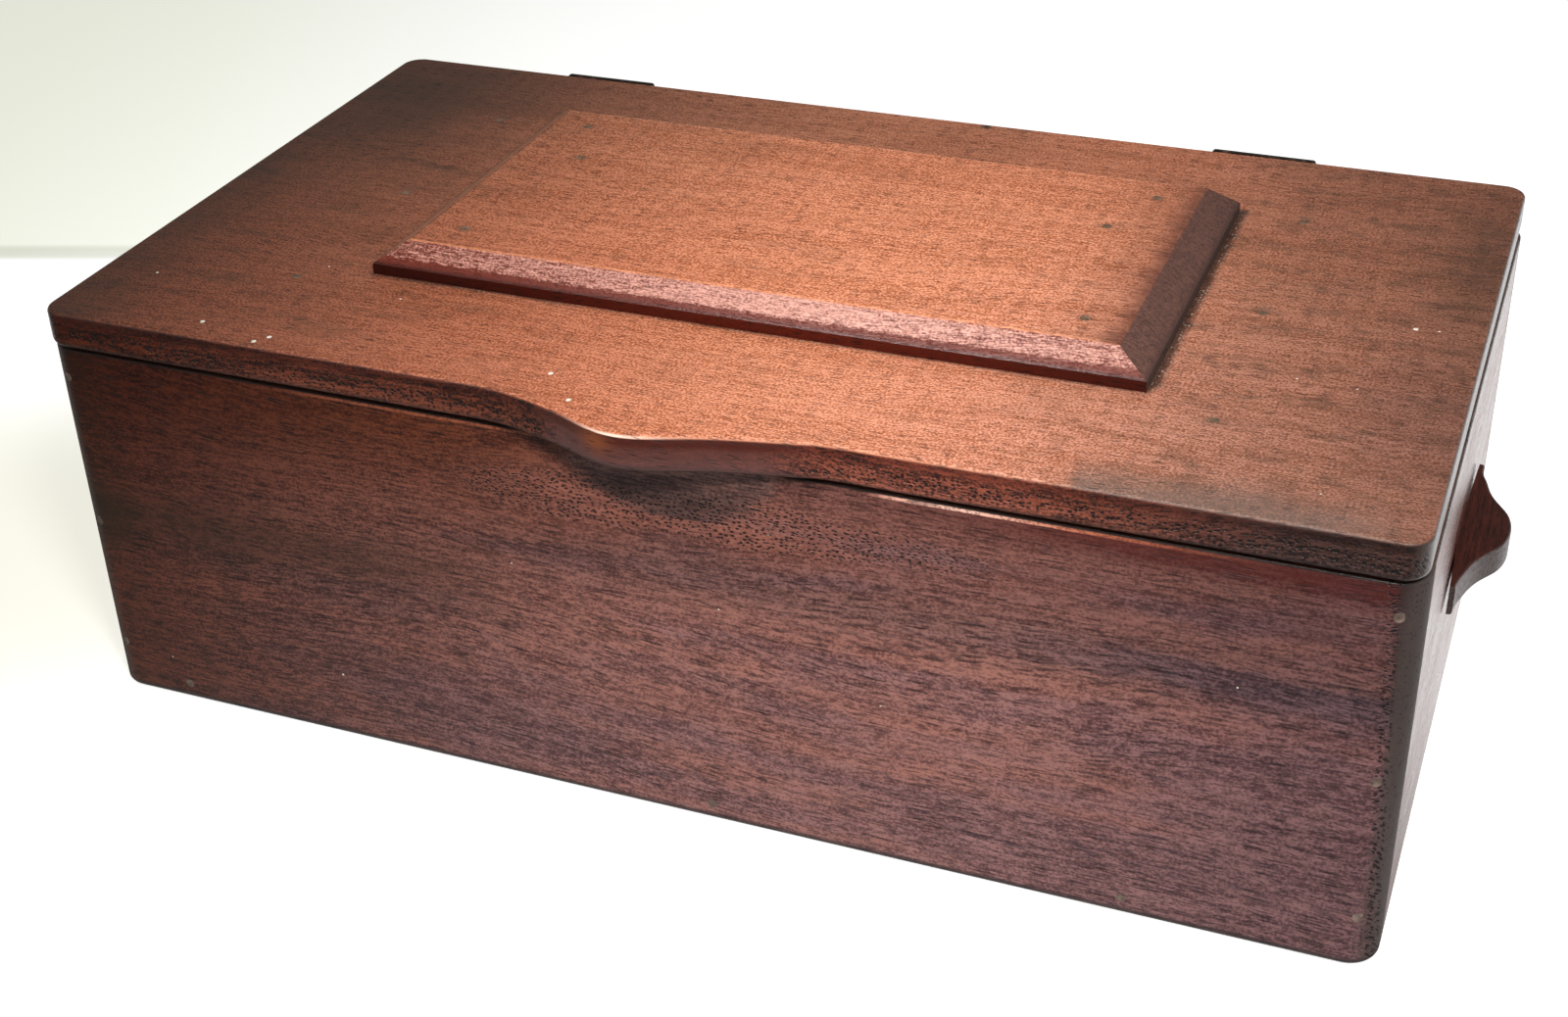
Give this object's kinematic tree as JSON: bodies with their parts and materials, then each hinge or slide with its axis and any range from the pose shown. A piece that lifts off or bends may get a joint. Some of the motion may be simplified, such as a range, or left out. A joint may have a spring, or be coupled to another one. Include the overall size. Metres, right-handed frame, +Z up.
{
  "type": "wooden trinket box",
  "caption": "Low rectangular mahogany box with a flat hinged lid, a raised bevelled panel on top, a carved lip to lift it by and a carrying ear at each end.",
  "frame": {"origin": "middle of the flat base that the box stands on", "axes": "+X to the right along the front, +Y to the hinged back, +Z up"},
  "size_m": [0.3226, 0.1798, 0.1094],
  "materials": {
    "body_mahogany": "dark red-brown mahogany with open pores under worn satin varnish",
    "lid_mahogany": "orange-brown mahogany, varnish worn grey in places",
    "panel_mahogany": "orange-brown mahogany, darker red on the bevels",
    "ear_mahogany": "dark red mahogany, satin varnish",
    "inner_mahogany": "plain unvarnished mahogany",
    "nail_brass": "tarnished brown",
    "hinge_steel": "darkened with age",
    "screw_steel": "darkened with age, bright in the slots"
  },
  "bodies": {
    "box": {"front_board": "body_mahogany", "back_board": "body_mahogany", "left_end_board": "body_mahogany", "right_end_board": "body_mahogany", "left_carrying_ear": "ear_mahogany", "right_carrying_ear": "ear_mahogany", "bottom_board": "inner_mahogany", "front_corner_nails": "nail_brass", "back_corner_nails": "nail_brass", "bottom_nails": "nail_brass", "left_hinge_box_leaf": "hinge_steel", "right_hinge_box_leaf": "hinge_steel", "left_hinge_pin": "hinge_steel", "right_hinge_pin": "hinge_steel", "hinge_box_screws": "screw_steel", "left_ear_screws": "screw_steel", "right_ear_screws": "screw_steel"},
    "lid": {"lid_board": "lid_mahogany", "raised_panel": "panel_mahogany", "left_batten": "inner_mahogany", "right_batten": "inner_mahogany", "panel_nails": "nail_brass", "batten_nails": "nail_brass", "left_hinge_lid_leaf": "hinge_steel", "right_hinge_lid_leaf": "hinge_steel", "hinge_lid_screws": "screw_steel"}
  },
  "joints": [
    {"name": "lid_hinge", "type": "hinge", "parent": "box", "child": "lid", "pos_m": [0, 0.0845, 0.0929], "axis": [-1, 0, 0], "range_deg": [0, 180]}
  ]
}
